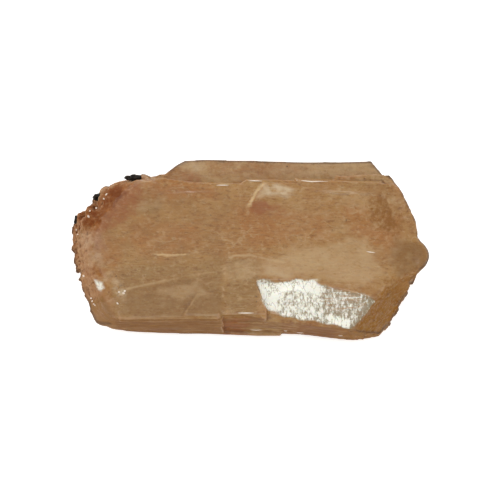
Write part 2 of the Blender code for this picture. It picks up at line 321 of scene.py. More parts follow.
# %% [markdown]
# ## Zones on the skin
#
# The crystal isn't one colour. Haze lies in it where it grew cloudy, iron has stained its end and
# ledges, and the cleavage facet is milky. Each kind of mark is painted as a number from 0 to 1 on
# the skin's points, from outlines drawn in millimetres on the top face. Such an attribute needs
# no unwrapping, and Geometry Nodes can read it too, to decide where grains grow.

# %% Reading and writing a mesh


def rows(items, name):
    """One kind of three-number data of a mesh, as a row for each item."""
    flat = np.empty(len(items) * 3, np.float32)
    items.foreach_get(name, flat)
    return flat.reshape(-1, 3)


def points_of(mesh):
    return rows(mesh.vertices, "co")


def normals_of(mesh):
    return rows(mesh.vertex_normals, "vector")


def move_points(mesh, points):
    mesh.vertices.foreach_set("co", points.ravel())
    mesh.update()


def write_attribute(mesh, name, amount):
    held = mesh.attributes.get(name) or mesh.attributes.new(name, "FLOAT", "POINT")
    held.data.foreach_set("value", np.asarray(amount, np.float32))


# %% [markdown]
# A mark is an area with an outline, or a line with a width. Both fade out over a distance, and
# both come down to how far a point is from straight pieces. Outlines are bent by a little noise,
# so that no border runs straight. Blender seeds that noise by the clock, so a seed of its own is
# set, and every run gives the same shapes.

# %% Areas and lines
BEND = 0.55
BEND_SIZE = 2.2
BEND_SEED = 60
noise.seed_set(BEND_SEED)


def bent(points):
    """The points moved sideways by smooth noise, which bends every outline tested on them."""
    shift = [noise.noise_vector(Vector(p) / BEND_SIZE) for p in points]
    return points[:, :2] + BEND * np.array(shift)[:, :2]


def eased(part):
    """Takes the corners off a value that runs from 0 to 1."""
    return part * part * (3 - 2 * part)


def gaps(flat, a, b):
    """How far each point is from the straight piece between a and b."""
    along = b - a
    step = ((flat - a) @ along / (along @ along)).clip(0, 1)
    return np.hypot(*(flat - a - step[:, None] * along).T)


def inside(flat, outline, edge):
    """1 inside the outline, 0 outside, easing over `edge` mm across its border."""
    corners = np.array(outline, float)
    nearest = np.full(len(flat), np.inf)
    within = np.zeros(len(flat), bool)
    for a, b in zip(corners, np.roll(corners, -1, axis=0)):
        nearest = np.minimum(nearest, gaps(flat, a, b))
        if a[1] != b[1]:
            crosses = (a[1] > flat[:, 1]) != (b[1] > flat[:, 1])
            crossing = a[0] + (flat[:, 1] - a[1]) / (b[1] - a[1]) * (b[0] - a[0])
            within ^= crosses & (flat[:, 0] < crossing)
    depth = np.where(within, nearest, -nearest)
    return eased((0.5 + depth / edge).clip(0, 1))


def beside(flat, path, width):
    """1 on the path, easing to 0 at half of `width` mm to either side."""
    nearest = np.full(len(flat), np.inf)
    for a, b in zip(np.array(path, float), np.array(path[1:], float)):
        nearest = np.minimum(nearest, gaps(flat, a, b))
    return eased((1 - nearest / (width / 2)).clip(0, 1))


# %% [markdown]
# The marks are noted first and painted later, since the skin is painted twice: before it is
# weathered, and when it is finished. Most marks lie on top only and fade where the skin turns
# down. Where marks of one kind overlap, the stronger one counts. How steep the skin is gets
# written too, because the side walls get painted shade and a relief of their own.

# %% Painting zones
TOP_FROM, TOP_OVER = 0.35, 0.3
STEEP_FROM, STEEP_OVER = 0.75, 0.55
ZONES = {}


def note(name, measure, marks, side):
    """Notes marks of one kind, each a shape, a width in mm and a strength, 1 if left out."""
    for mark in marks:
        shape, width, strength = (*mark, 1.0)[:3]
        ZONES.setdefault(name, []).append((measure, shape, width, strength, side))


def zone(name, *areas, side=False):
    """Areas by outline and width of border. side=True lets them run down the sides too."""
    note(name, inside, areas, side)


def line(name, *paths, side=False):
    """Lines by path and width, such as a crack or a worn edge."""
    note(name, beside, paths, side)


def paint(mesh):
    """Writes every zone, and how steep the skin is, to the mesh as attributes."""
    points = points_of(mesh)
    places = {inside: bent(points), beside: points[:, :2]}
    rise = normals_of(mesh)[:, 2]
    upward = ((rise - TOP_FROM) / TOP_OVER).clip(0, 1)
    write_attribute(mesh, "steep", eased(((STEEP_FROM - rise) / STEEP_OVER).clip(0, 1)))
    for name, marks in ZONES.items():
        amount = np.zeros(len(points))
        for measure, shape, width, strength, side in marks:
            here = strength * measure(places[measure], shape, width)
            amount = np.maximum(amount, here if side else here * upward)
        write_attribute(mesh, name, amount)


# %% [markdown]
# ** Pearl** is the cleavage facet at the front, a crinkled mirror, with a small white chip at the
# left end. **Milk** says where it is solid white, partly its own milky colour and partly painted
# pearly sheen, and **tan** where honey shows through it.

# %% Pearl, milk and tan
zone("pearl",
     ([(1.5, -7.4), (2.6, -7.1), (5.2, -7.5), (8.3, -6.9), (11.2, -6.9), (12.9, -7.9), (17, -8.9),
       (20.4, -9.7), (22.2, -10.8), (20.4, -13), (18.2, -15.6), (12.6, -14.2), (9.1, -13.7),
       (5.6, -13), (3.7, -12.3), (2.4, -10.6)], 0.35),
     ([(-26.8, -7.1), (-25.4, -7.2), (-24.7, -8.3), (-25.6, -8.8), (-26.6, -8.2)], 0.7, 0.9))
# Milk is partly painted pearly sheen.
zone("milk_and_sheen",
     ([(1.2, -7.5), (5.2, -7.6), (11.2, -6.7), (13.2, -8.2), (12.2, -9.6), (6.8, -9.2),
       (5.2, -10.4), (4.6, -12.8), (3.2, -12.6)], 1.4),
     ([(14.2, -13), (18.4, -13.9), (17.8, -15.4), (14, -14.6)], 0.8, 0.9),
     ([(4, -8), (13, -8.4), (13.6, -14.5), (4.4, -12.8)], 1.6, 0.5),
     ([(12, -7.6), (21, -9.8), (17.6, -15.4), (12.6, -14.2)], 1.6, 0.28),
     ([(-27.2, -6.6), (-25, -6.8), (-24.2, -8.6), (-26, -9.2)], 0.7))
zone("tan", ([(12.6, -7.4), (21.4, -9.4), (19.4, -13.6), (15, -12.4), (12.8, -10.8)], 1.6))

# %% [markdown]
# **Haze** is cloudy crystal, above all behind the facet. **Veil** is thinner, a faint wisp.
# **Frost** is an etched spot that looks like frosted glass, such as the lens in the notch.

# %% Haze, veil and frost
zone("haze",
     ([(9.2, -1.6), (14.5, -0.3), (21, 1.3), (21.8, -1.6), (24, -5.2), (21.4, -7.9), (16.1, -7.9),
       (12.7, -6.6), (3.4, -5.4), (1.6, -3.4)], 2.2, 0.8),
     ([(2.5, -4.3), (7.4, -4.6), (7.4, -6.6), (3, -6.6)], 1.4),
     ([(-2, -3.6), (5, -3.2), (5, -6.6), (-2, -6.6)], 1.6, 0.6),
     ([(-12.2, 14.6), (-9, 13.4), (-7.6, 15.4), (-11.2, 16)], 2.4, 0.7),
     ([(2, 17), (24, 17), (25, 12.4), (6, 12.8)], 1.6, 0.7))
zone("veil",
     ([(-15.6, -8.2), (-8.3, -7.6), (-6.8, -9.6), (-11.8, -10.6), (-15.4, -10.2)], 1.8, 0.9),
     ([(-21, 6.4), (-16, 8.2), (-13, 7.6), (-18, 5)], 1.8, 0.7),
     ([(-17.6, -0.2), (-14.4, 2.2), (-13, 1.6), (-16.2, -1.2)], 1.2, 0.6),
     ([(14, 10), (21, 9.8), (25.6, 6), (23, 3), (15, 7)], 3, 0.5),
     ([(12, 16.4), (23, 16.4), (25, 11), (16, 12)], 3, 0.9),
     ([(-12, 17), (14, 17), (14, 11.4), (-14, 11.4)], 2, 0.75),
     ([(5, 8), (27, 10), (29, -6), (18, -9), (4, -6)], 4, 0.42),
     ([(-4.1, -4.4), (0.8, -3.2), (0.8, -7.4), (-4.1, -7)], 1.5, 0.8))
zone("veil", ([(0.6, -13.9), (9, -14.2), (9, -17), (1.4, -17)], 0.6, 0.55), side=True)
zone("frost",
     ([(1.9, 7.9), (2.6, 10), (4.9, 10.2), (7.9, 9.4), (7.2, 7.9), (4.3, 8.2)], 0.9),
     ([(-29.8, 1.6), (-27.4, 1.4), (-27, -0.6), (-29.2, -1.4)], 1.4, 0.35),
     ([(-28, -1.8), (-25.4, -2.2), (-25.6, -4.4), (-27.8, -4.4)], 1.6, 0.35),
     ([(-25.4, -5.4), (-23.4, -5.6), (-23.8, -7.2), (-25.2, -7)], 1, 0.45),
     ([(-23.6, -6.4), (-21, -8.8), (-21.3, -11), (-23.2, -9.6)], 1, 0.8),
     ([(-12, 14.6), (-8.6, 13), (-8, 15), (-11.2, 15.8)], 1.8, 0.5),
     ([(3, -4.9), (7, -4.9), (7, -6.6), (3.4, -6.4)], 1, 0.35))

# %% [markdown]
# **Amber** is redder, near the upper ledges and to the right. **Olive** is greyer and greener,
# where the blade is clearer. **Dusk** is where less light comes back: the growth plates at the
# lower left, both lower corners and the tip.

# %% Amber, olive and dusk
zone("amber",
     ([(-18.9, 11.4), (-5.7, 10.9), (-5.2, 7.6), (-17.1, 7.2)], 2.4, 0.9),
     ([(-21, 3.5), (-8.4, 3.5), (-7.5, -1.7), (-17.1, -2.8), (-21.5, -0.8)], 3, 0.7),
     ([(-2.2, 6.3), (14.5, 4.8), (14.8, 0.5), (0.4, -0.8), (-1.7, 1.6)], 3, 0.8),
     ([(17.1, 6.6), (26.8, 4.8), (27.7, -1.7), (22.4, -1.7), (18, 1.6)], 2.6, 0.9),
     ([(-12.2, 14), (-8.4, 13), (-9, 10.4), (-14.5, 10.8)], 1.8, 0.9),
     ([(-26.8, 1.5), (-21, 0.5), (-22.4, -5), (-26.3, -3.9)], 2, 0.9),
     ([(-6, 15.6), (12, 15.6), (12, 11.8), (-6, 12)], 2, 0.35))
zone("olive",
     ([(-19.8, 7.9), (-14.5, 8.4), (-15.4, 4.8), (-19.3, 4.6)], 2.2, 0.8),
     ([(-22.4, -3.9), (-4, -3.2), (-3.8, -14.2), (-24.5, -14.2)], 3, 0.9),
     ([(-3.8, -3), (2.3, -3.2), (1.8, -14.2), (-3.8, -14.2)], 1.5),
     ([(14, 15.6), (25, 15.6), (27, 6), (18, 9.6)], 3, 0.5))
zone("dusk",
     ([(-21, -8.6), (-14.4, -7.2), (-4.5, -5.4), (-4.4, -13.8), (-21.4, -13.8)], 1.2, 0.6),
     ([(-27, 6), (-16, 11), (-3, 9), (-4, -4), (-26, -5)], 4, 0.35),
     ([(26, 0.9), (31.9, -1), (31.9, -4.7), (26.7, -6.6), (24.9, -4.2)], 1.8, 0.9),
     ([(-29.6, 4.6), (-26, 4.6), (-25.4, 1.6), (-29.6, 1.8)], 1.4, 0.5))
zone("dusk",
     ([(-31, -9.6), (-25.4, -9.6), (-23.4, -13), (-23.8, -17), (-31, -17)], 1.6, 0.9),
     ([(15, -15.6), (20.4, -11.4), (26, -7.4), (30, -9), (20, -18)], 1.6, 0.8), side=True)

# %% [markdown]
# The left end has a bleached pinkish skin. **Rim** is the whole end, **pink** the palest places.
# **Freckled** skin has small pale and dark spots, and grows on the back and right shoulder too.

# %% Rim, pink and freckles
LEFT_END = [(-40, 20), (-19, 20), (-18, 12.4), (-21.4, 7.4), (-24.6, 3.6), (-26.4, -1),
            (-25.4, -6), (-23.4, -9.6), (-23.8, -13.6), (-25, -16), (-40, -16)]
zone("rim", (LEFT_END, 5, 0.9), side=True)
zone("pink",
     ([(-30.2, 4), (-25.9, 2.7), (-25.2, -1.7), (-30, -2.1)], 3.6, 0.9),
     ([(-23, 12.4), (-18, 12.6), (-18.6, 10), (-22.6, 9.4)], 1.4, 0.6))
zone("pink", ([(-29, -8.1), (-25, -8.5), (-24.4, -13.5), (-28, -15)], 1.4, 0.3), side=True)
zone("freckled",
     ([(-40, 20), (-19, 20), (-18, 12.4), (-21.4, 7.4), (-24.6, 3.6), (-26.4, -1), (-25.4, -6),
       (-24.4, -8), (-40, -8)], 5, 0.9), side=True)
zone("freckled",
     ([(-16, 17), (22, 17), (24, 12.6), (-18, 12.8)], 1, 0.4),
     ([(20, 14), (34, 12), (34, 0), (29.6, 1), (26.4, 4), (24, 9)], 1.6, 0.6))

# %% [markdown]
# **Rust** is iron oxide that settled on the rough right end. **Red** is a thin wash of it inside
# the crystal, and **blush** is the dark red-brown core of a stain.

# %% Rust, red and blush
RECESS = [(-4.6, -13.4), (0.2, -13.4), (0.4, -17), (-4.6, -17)]
zone("rust",
     ([(20.8, 7), (24, 8.4), (27, 3.4), (26.6, 0.9), (23.6, 1.6), (21.4, 4)], 3, 0.85),
     ([(24.2, 5.6), (26.2, 4.6), (26.6, 1.6), (24.6, 1.4), (23.6, 3.6)], 1.6))
zone("rust",
     ([(16.6, -15.4), (20.6, -10.8), (24, -8), (28.4, -5.4), (30, -9), (20, -18)],
      1.2, 0.62), side=True)
zone("red",
     ([(0.8, 7.4), (3.6, 7), (4.2, 5.8), (2.4, 4.6), (0.2, 5.2)], 1.6),
     ([(1.2, 7.8), (4.6, 7.2), (8, 6.4), (6, 4.4), (2.4, 3.8), (-0.4, 5.2)], 2.2, 0.5),
     ([(-25, 11), (-19, 11), (-18, 8), (-22, 3), (-27, 1), (-31, 5)], 3, 0.75),
     ([(-11.4, 12.8), (-8, 12.6), (-7.6, 10.6), (-10.8, 10.4)], 2, 0.75),
     ([(16, 13.4), (22, 13), (21, 11.6), (16, 11.6)], 2.4, 0.5),
     ([(-27.4, -4), (-24.6, -4.8), (-24, -7), (-27, -5.8)], 1.2, 0.55),
     ([(-21.4, 8.6), (-19.4, 8.8), (-19.8, 6.6), (-21.2, 7)], 0.8, 0.9),
     ([(-29, 5), (-25.6, 4.6), (-25.4, 2.4), (-28.6, 2.8)], 1.2, 0.9),
     ([(-7, 16.6), (12, 16.6), (12, 12.6), (-7, 12.6)], 2, 0.35))
zone("red",
     ([(-16, 15), (-11, 16.6), (-11, 15.4), (-14, 13.4)], 1.4, 0.6),
     (RECESS, 0.8, 0.5), side=True)
zone("blush",
     ([(-24.8, 9.8), (-22.6, 10.2), (-21.6, 9), (-22.4, 7.8), (-24.6, 7.8)], 1.4),
     ([(-26.4, 10.6), (-22.6, 11.4), (-21.4, 9), (-22.6, 6.4), (-26, 5.6)], 2.4, 0.7),
     ([(-32, 8.6), (-26.6, 8.6), (-24.6, 4.4), (-27.6, 2.8), (-32.4, 3)], 2.4, 0.75),
     ([(1, 7), (2, 6.8), (2.2, 6), (1, 6)], 1.2, 0.45))
zone("blush",
     ([(-33, 4), (-30.6, 4), (-30.4, -4), (-33, -4)], 1.2, 0.5),
     (RECESS, 0.8, 0.45),
     ([(6, -13.4), (17, -14.4), (17, -17.6), (6, -17)], 0.8, 0.4), side=True)

# %% [markdown]
# A **seam** is a thin pale line, where a growth layer ends or a healed crack catches the light. A
# **lip** is a painted highlight along the broken edge of such a layer.

# %% Seams and lips
line("seam",
     ([(-21, -8.6), (-17.9, -7.9), (-14.4, -7.2)], 0.9, 0.8),
     ([(-14.4, -7.2), (-9, -6), (-4.4, -5.4)], 0.7, 0.4),
     ([(-21.4, -13.4), (-12, -13.5), (-4.6, -13.2)], 0.5, 0.5),
     ([(-11, -13.4), (-9.5, -10.8), (-8.6, -9.9)], 0.6, 0.5),
     ([(-4.2, -10), (-4.1, -5), (-3.6, -3.6), (-2.6, -2.7), (0.4, -2.6), (4.8, -3.6), (6.4, -3.9)],
      0.8),
     ([(-3.4, 9), (-3.2, 4), (-3.5, -1.6)], 0.7, 0.25),
     ([(-17, -2.2), (-13, -2.6), (-10.4, -2.4)], 0.6, 0.7),
     ([(-10.4, -2.4), (-7.4, -1), (-5, 1.6), (-4, 4.4)], 1.2, 0.35),
     ([(7.5, 9.7), (11, 9.6), (14.6, 9.7)], 0.5, 0.5),
     ([(13.6, 9.2), (17.6, 8.9), (20.8, 8.4)], 0.5, 0.6),
     ([(7.6, 10.4), (12, 10.2), (16, 10)], 0.5, 0.35),
     ([(12.4, 0.6), (16.2, 1.9), (20.6, 4.6)], 1.4, 0.3),
     ([(-9.6, 4.2), (-8.2, 6.4), (-7.8, 8)], 1, 0.3),
     ([(24.8, -5.6), (21.6, -7.8), (20.8, -10)], 0.8, 0.4),
     ([(-1.7, -12.9), (1.4, -12.9)], 0.5, 0.9))
# The lips are a painted highlight.
line("lip",
     ([(0.3, 6.5), (0.7, 7.4), (1.5, 8.9), (2.6, 10.2)], 1.2, 0.9),
     ([(-16.8, -2.3), (-14, -2.55), (-11, -2.4)], 0.5, 0.9))

# %% [markdown]
# Some marks aren't colours. **Crumb** is broken or crusted skin that needs relief. **Crust** says
# where tiny grains grow. **Swell** pushes the skin outwards where the real rim bulges, and
# **front** marks the side wall that faces the camera, where the painted shade is darkest.

# %% Crumb, crust, swell and front
RIM = [(-40, 20), (-19, 20), (-19.6, 12.4), (-25, 9.4), (-28.6, 4), (-29.4, -1), (-28.4, -6.6),
       (-28.4, -10), (-40, -10)]
LUMPY = [(-40, 20), (-18.6, 20), (-18.4, 11.4), (-22.8, 7), (-25.6, 3), (-26.4, -1), (-25, -5),
         (-21.6, -7.6), (-21.4, -10.6), (-25.4, -11.4), (-40, -11)]
BROKEN_END = [(17.6, -20), (17.8, -15.2), (20.9, -10.9), (24, -8), (28.2, -5.4), (40, -5),
              (40, -20)]
SHOULDER = [(21.4, 13), (40, 13), (40, 0.6), (29.6, 0.6), (27.6, 3.6), (24.8, 9.6)]
zone("crumb",
     (RIM, 2),
     (LUMPY, 3, 0.62),
     (BROKEN_END, 1, 0.32),
     (SHOULDER, 1.2, 0.45), side=True)
zone("crumb",
     ([(-23.4, -5.4), (-20.4, -8.6), (-20.9, -11), (-23.6, -10)], 1.4, 0.5),
     ([(20, 12), (40, 12), (40, 0), (28, 0), (25, 2), (22, 8)], 3, 0.25))
zone("crust",
     (RIM, 2, 0.7),
     (BROKEN_END, 1),
     (SHOULDER, 1.2, 0.8), side=True)
zone("swell",
     ([(-28, 9), (-28, 14), (-18.6, 15), (-18, 12), (-21, 10), (-24.6, 7.4)], 1.6),
     ([(30, 0.6), (34, 0.6), (34, -5), (30, -4.6)], 2, 0.5), side=True)
zone("front", ([(-24, -12), (17, -12.6), (17, -18), (-24, -18)], 1), side=True)

# %% [markdown]
# **Worn** marks edges of the solid that are really rounded over or grown shut. The skin is
# blurred there, so that no crisp line is left.

# %% Worn edges, and paint everything
line("worn",
     ([(-18, 12.2), (-21.6, 9.8), (-25.2, 6.4), (-28.2, 1.6), (-28.9, -2.2), (-27.9, -5.4),
       (-25.6, -10.4), (-25, -13.4)], 4.6),
     ([(25.2, 0.8), (27.4, 1.4), (30.2, 2.4)], 1.4, 0.6),
     ([(-27.4, -6.4), (-25, -9.6), (-24.4, -13.8)], 3), side=True)
line("worn",
     ([(1.2, 6), (3, 5), (6, 5.4), (12, 6), (19, 7)], 3.6),
     ([(-21, -8.6), (-14.4, -7.2), (-4.6, -5.4)], 2, 0.5),
     ([(-3.6, 11), (-3.4, 4), (-3.6, -1.6), (-4.6, -4)], 5),
     ([(12.4, 15), (12.2, 11.6)], 1.6),
     ([(-26.2, -8.6), (-22.6, -8.8), (-20.8, -8.8)], 1.6, 0.8),
     ([(-4.4, -5.4), (-4.5, -12.6)], 1.2, 0.25),
     ([(-18, 11.6), (-12, 10.9), (-6.4, 10.9), (-2, 11.4)], 1.6, 0.6),
     ([(12, 12.6), (22, 12.6)], 1.2, 0.8),
     ([(-18.6, 10.2), (-18.4, 9), (-11, 9.6), (-4.4, 9.8)], 1.2, 0.7))
zone("worn",
     ([(24.6, 12), (40, 12), (40, -5), (28.6, -5)], 1.6, 0.14),
     ([(-31, -12.6), (-23.6, -12.6), (-22, -18), (-31, -18)], 2, 0.9),
     (RIM, 1, 0.035), side=True)
paint(crystal.data)
print("zones:", ", ".join(ZONES))

# %% [markdown]
# ## Weathering the skin
#
# A Geometry Nodes tree first blurs the worn edges, then moves each point of the skin along its
# normal by the sum of several reliefs: long growth striations, the stacked layers of the side
# walls, fine crinkles on the pearly facet, crumbs on the broken parts, a slight waviness, and a
# swelling at the rim. Depths and sizes are the tree's inputs, to be tried in the modifier panel.

# %% Helpers for Geometry Nodes trees


def geometry_tree(name, sizes):
    """A Geometry Nodes tree with one input for each size."""
    tree = bpy.data.node_groups.new(name, "GeometryNodeTree")
    tree.interface.new_socket("Geometry", in_out="INPUT", socket_type="NodeSocketGeometry")
    for size in sizes:
        tree.interface.new_socket(size, in_out="INPUT", socket_type="NodeSocketFloat")
    tree.interface.new_socket("Geometry", in_out="OUTPUT", socket_type="NodeSocketGeometry")
    graph = Graph(tree)
    return graph, graph.add("NodeGroupInput").outputs, graph.add("NodeGroupOutput")


def run_tree(thing, graph, sizes):
    """Puts the tree on an object, sets its inputs and keeps the result."""
    modifier = thing.modifiers.new(graph.tree.name, "NODES")
    modifier.node_group = graph.tree
    for item in graph.tree.interface.items_tree:
        if item.in_out == "INPUT" and item.name in sizes:
            modifier[item.identifier] = sizes[item.name]
    keep_modified(thing)


def mask_of(graph, name):
    node = graph.add("GeometryNodeInputNamedAttribute", {"Name": name}, data_type="FLOAT")
    return node.outputs["Attribute"]


def relief(graph, mask, depth, sizes, seed, detail=2.0):
    """Noise from -1 to 1, its size given for X, Y and Z, times depth and mask."""
    place = graph.add("GeometryNodeInputPosition").outputs[0]
    size = graph.add("ShaderNodeCombineXYZ", dict(enumerate(sizes))).outputs[0]
    scaled = graph.add("ShaderNodeVectorMath", {0: place, 1: size}, operation="DIVIDE").outputs[0]
    shifted = graph.add("ShaderNodeVectorMath", {0: scaled, 1: (seed,) * 3}, operation="ADD")
    cloud = graph.add(
        "ShaderNodeTexNoise", {"Vector": shifted.outputs[0], "Scale": 1.0, "Detail": detail}
    )
    centred = graph.maths("MULTIPLY_ADD", cloud.outputs[0], 2.0, -1.0)
    return graph.maths("MULTIPLY", graph.maths("MULTIPLY", centred, depth), mask)


# %% Weathering tree
WEAR_STEPS = 120
WEATHER = {
    "striation depth": 0.035,
    "striation width": 0.45,
    "striation length": 9.0,
    "crinkle depth": 0.07,
    "crinkle size": 0.5,
    "crumb depth": 0.46,
    "crumb size": 1.1,
    "layer depth": 0.16,
    "layer thickness": 0.6,
    "layer length": 8.0,
    "waviness": 0.05,
    "wave size": 3.5,
    "swell height": 0.7,
}

weather, sizes_in, tree_out = geometry_tree("weathering", WEATHER)
rounded = weather.add(
    "GeometryNodeBlurAttribute",
    {
        "Value": weather.add("GeometryNodeInputPosition").outputs[0],
        "Iterations": WEAR_STEPS,
        "Weight": mask_of(weather, "worn"),
    },
    data_type="FLOAT_VECTOR",
)
worn = weather.add(
    "GeometryNodeSetPosition", {0: sizes_in["Geometry"], "Position": rounded.outputs[0]}
)
normal = weather.add("GeometryNodeInputNormal").outputs[0]
crumb, pearl = mask_of(weather, "crumb"), mask_of(weather, "pearl")
calm = weather.maths("SUBTRACT", 1.0, crumb)
walls = weather.maths("MULTIPLY", calm, mask_of(weather, "steep"))
width, length = sizes_in["striation width"], sizes_in["striation length"]
thick, reach = sizes_in["layer thickness"], sizes_in["layer length"]
parts = [
    relief(weather, calm, sizes_in["striation depth"], (length, width, width), 3.1),
    relief(weather, walls, sizes_in["layer depth"], (reach, reach, thick), 8.6),
    relief(weather, pearl, sizes_in["crinkle depth"], (sizes_in["crinkle size"],) * 3, 7.7, 3.0),
    relief(weather, crumb, sizes_in["crumb depth"], (sizes_in["crumb size"],) * 3, 1.9, 3.0),
    relief(weather, 1.0, sizes_in["waviness"], (sizes_in["wave size"],) * 3, 5.3, 1.0),
    weather.maths("MULTIPLY", mask_of(weather, "swell"), sizes_in["swell height"]),
]
total = parts[0]
for part in parts[1:]:
    total = weather.maths("ADD", total, part)
offset = weather.add("ShaderNodeVectorMath", {0: normal, "Scale": total}, operation="SCALE")
weathered = weather.add(
    "GeometryNodeSetPosition", {0: worn.outputs[0], "Offset": offset.outputs[0]}
)
weather.tree.links.new(weathered.outputs[0], tree_out.inputs[0])
run_tree(crystal, weather, WEATHER)

# %% [markdown]
# The even net has far more triangles than flat places need. A Decimate modifier keeps them where
# the relief is and thins out the rest. Then the finished skin is painted again.

# %% Thin out and keep inside the solid's box
MOST_TRIANGLES = 190_000
BOX_INSET = 0.01

triangles = sum(len(face.vertices) - 2 for face in crystal.data.polygons)
thinner = crystal.modifiers.new("thin", "DECIMATE")
thinner.ratio = min(1.0, MOST_TRIANGLES / triangles)
thinner.use_collapse_triangulate = True
keep_modified(crystal)


def keep_in_box(mesh):
    """Moves the few points that relief pushed past the solid's box back to it."""
    low = np.array(cad_low) / MM + BOX_INSET
    high = np.array(cad_high) / MM - BOX_INSET
    low[2] -= BOX_INSET
    move_points(mesh, points_of(mesh).clip(low, high))


keep_in_box(crystal.data)
paint(crystal.data)
crystal.data.shade_smooth()
print("crystal:", triangles, "triangles thinned to", len(crystal.data.polygons))

# %% [markdown]
# Light finds its way out of a ridge and gets lost in a hollow, so ridges look pale and hollows
# dark. How hollow a point is can be measured: average its neighbours a few times and see how far
# above the point the average lies.

# %% Ridges and hollows
HOLLOW_STEPS = 5
HOLLOW_DEPTH = 0.07
RIDGE_HEIGHT = 0.12


def measure_hollows(mesh):
    """Writes attributes hollow and ridge, from 0 where the skin is flat to 1."""
    ends = np.empty(len(mesh.edges) * 2, np.int32)
    mesh.edges.foreach_get("vertices", ends)
    ends = ends.reshape(-1, 2)
    here, there = np.concatenate([ends, ends[:, ::-1]]).T
    count = np.bincount(here, minlength=len(mesh.vertices))
    points = points_of(mesh)
    smooth = points.astype(float)
    for _ in range(HOLLOW_STEPS):
        smooth = np.stack(
            [np.bincount(here, smooth[there, axis], len(points)) / count for axis in range(3)],
            axis=1,
        )
    above = ((smooth - points) * normals_of(mesh)).sum(axis=1)
    write_attribute(mesh, "hollow", (above / HOLLOW_DEPTH).clip(0, 1))
    write_attribute(mesh, "ridge", (-above / RIDGE_HEIGHT).clip(0, 1))
    print("hollow in mm, deepest and highest:", above.max().round(3), above.min().round(3))


measure_hollows(crystal.data)

# %% [markdown]
# At the outline, seen from above, the crystal turns away from the light and its clear outer skin
# darkens. A point belongs to this **brim** when rays dropped a little beside it miss the crystal.
# Walls that stand upright are left out.

# %% The dark brim
BRIM_WIDTH = 0.45
BRIM_RAYS = 8
BRIM_SLOPE = 0.25
DROP_FROM = 50.0
DOWN = Vector((0, 0, -1))
skin = BVHTree.FromPolygons(
    points_of(crystal.data).tolist(), [tuple(face.vertices) for face in crystal.data.polygons]
)


def measure_brim(mesh):
    """Writes the attribute brim: how many rays around a point miss, where the skin faces up."""
    around = [
        (BRIM_WIDTH * math.cos(turn), BRIM_WIDTH * math.sin(turn))
        for turn in np.linspace(0, math.tau, BRIM_RAYS, endpoint=False)
    ]
    upward = (normals_of(mesh)[:, 2] / BRIM_SLOPE).clip(0, 1)
    amount = np.zeros(len(mesh.vertices))
    for index, (x, y, _) in enumerate(points_of(mesh).tolist()):
        if upward[index] > 0:
            missed = sum(
                skin.ray_cast(Vector((x + dx, y + dy, DROP_FROM)), DOWN)[0] is None
                for dx, dy in around
            )
            amount[index] = upward[index] * min(1, 2 * missed / BRIM_RAYS)
    write_attribute(mesh, "brim", amount)
    print("points on the brim:", int((amount > 0.5).sum()))


measure_brim(crystal.data)

# %% [markdown]
# ## The crystal's colour
#
# Cloudy crystal glows a little because light enters, wanders and leaves somewhere else. Subsurface
# scattering does that, with red reaching farthest. The colour is built up in layers: a tone, and
# how much of it shows. A painted zone is torn by noise first, so that it ends in wisps.

# %% Crystal colours
HONEY = (0.305, 0.148, 0.042)
STRAW = (0.345, 0.192, 0.064)
AMBER = (0.318, 0.132, 0.032)
OLIVE = (0.255, 0.148, 0.052)
DUSK = (0.205, 0.100, 0.028)
SHADOW = (0.180, 0.072, 0.014)
# Painted shade for the side walls.
SIDE_SHADE = (0.125, 0.046, 0.008)
OUTLINE = (0.060, 0.028, 0.014)
HAZE = (0.440, 0.300, 0.155)
FROST = (0.520, 0.400, 0.260)
# Painted highlight for the lips.
LIP_HIGHLIGHT = (0.560, 0.400, 0.210)
# Painted highlight for ridges, and painted shade for hollows.
RIDGE_HIGHLIGHT = (0.430, 0.275, 0.165)
HOLLOW_SHADE = (0.110, 0.036, 0.010)
PINK = (0.315, 0.165, 0.086)
PALE_PINK = (0.440, 0.265, 0.150)
RED = (0.255, 0.084, 0.018)
BLUSH = (0.145, 0.037, 0.008)
RUST = (0.205, 0.076, 0.003)
# Partly painted pearly sheen.
PEARL_WHITE_SHEEN = (0.76, 0.755, 0.67)
PEARL_GREY = (0.26, 0.205, 0.125)

# %% A finish in layers
TORN = 0.55


class Coat(Finish):
    """A finish whose colour is built up in layers."""

    def layer(self, tone, amount, strength, mask=1.0):
        """Lays a tone over the colour, as far as amount, strength and mask let it."""
        amount = self.maths("MULTIPLY", self.maths("MULTIPLY", amount, mask), strength)
        self.colour = self.blend(amount, self.colour, tone)

    def stain(self, name, tone, size, reach, strength, seed, stretch=(1, 1, 1)):
        """Lays a tone over a zone that noise has torn. More reach holds the zone together."""
        cloud = self.noise(size, stretch, detail=4, seed=seed)
        held = self.maths("MULTIPLY_ADD", self.zone(name), reach, cloud)
        self.layer(tone, self.ramp(held, TORN, TORN + reach), strength)


# %% [markdown]
# The body comes first: two honey tones in broad clouds that drift to amber and olive, then pale
# threads, mottling, dark pores, pale flecks and healed cracks. The blade grew along X, so its
# features are stretched that way.

# %% The body of the crystal


